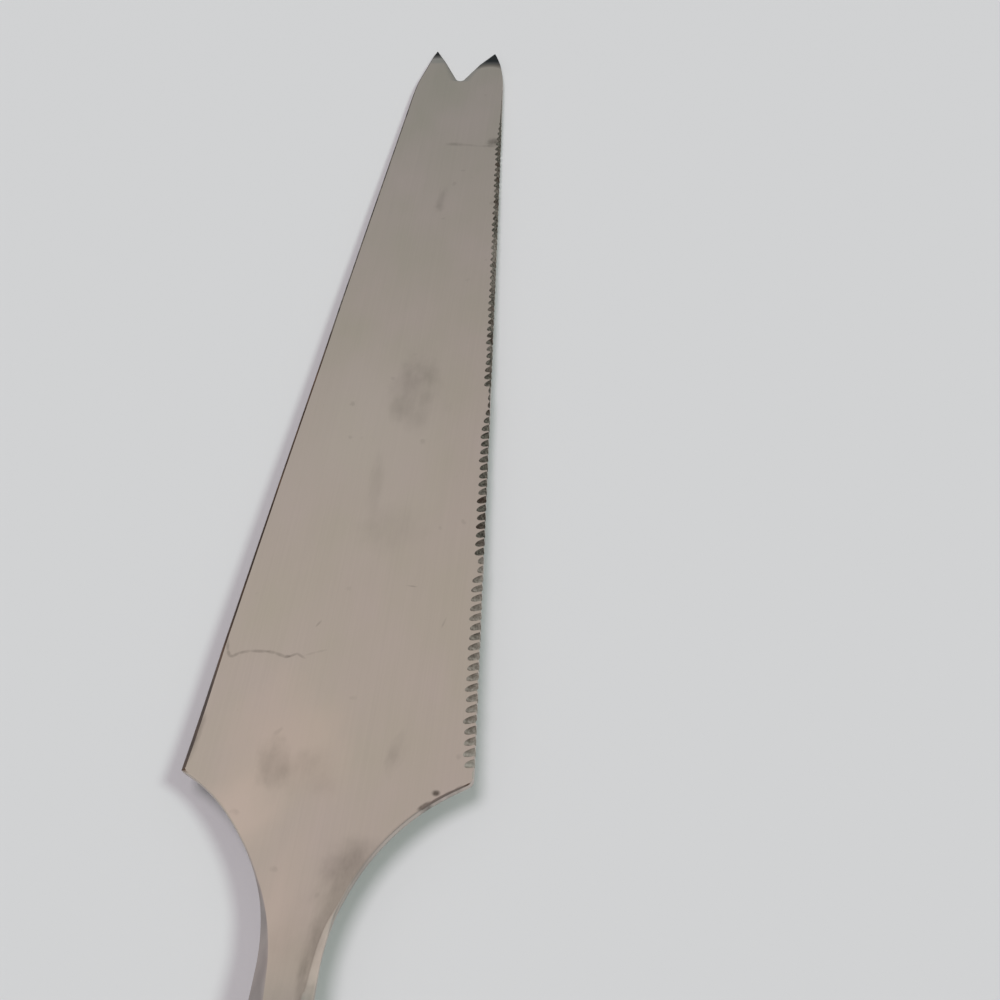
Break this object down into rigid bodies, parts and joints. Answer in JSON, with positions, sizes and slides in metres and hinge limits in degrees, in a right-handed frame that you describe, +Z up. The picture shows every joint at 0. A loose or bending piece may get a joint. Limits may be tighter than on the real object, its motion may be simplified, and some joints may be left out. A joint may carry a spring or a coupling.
{
  "type": "carving knife",
  "caption": "Carving knife with a wedge-shaped saw-ground blade, a forked tip, a steel collar and an oval wooden handle with a steel butt cap.",
  "frame": {"origin": "on the table under the middle of the knife's box, the knife lying flat on its tine points and the belly of its grip", "axes": "+Y along the knife towards the forked tip, +X towards the saw-ground edge, +Z up out of the ground side of the blade"},
  "size_m": [0.0484, 0.3688, 0.0208],
  "materials": {
    "blade_steel": "satin, stained by use",
    "collar_steel": "polished",
    "nut_steel": "turned",
    "black_fibre": "matt vulcanised fibre",
    "rosewood": "oiled",
    "bedding_resin": "cast resin"
  },
  "bodies": {
    "root": {"blade": "blade_steel", "ferrule": "collar_steel", "front_spacer": "black_fibre", "handle_grip": "rosewood", "tang_bedding": "bedding_resin", "rear_spacer": "black_fibre", "end_cap": "collar_steel", "washer": "nut_steel", "tang_nut": "nut_steel"}
  },
  "joints": []
}
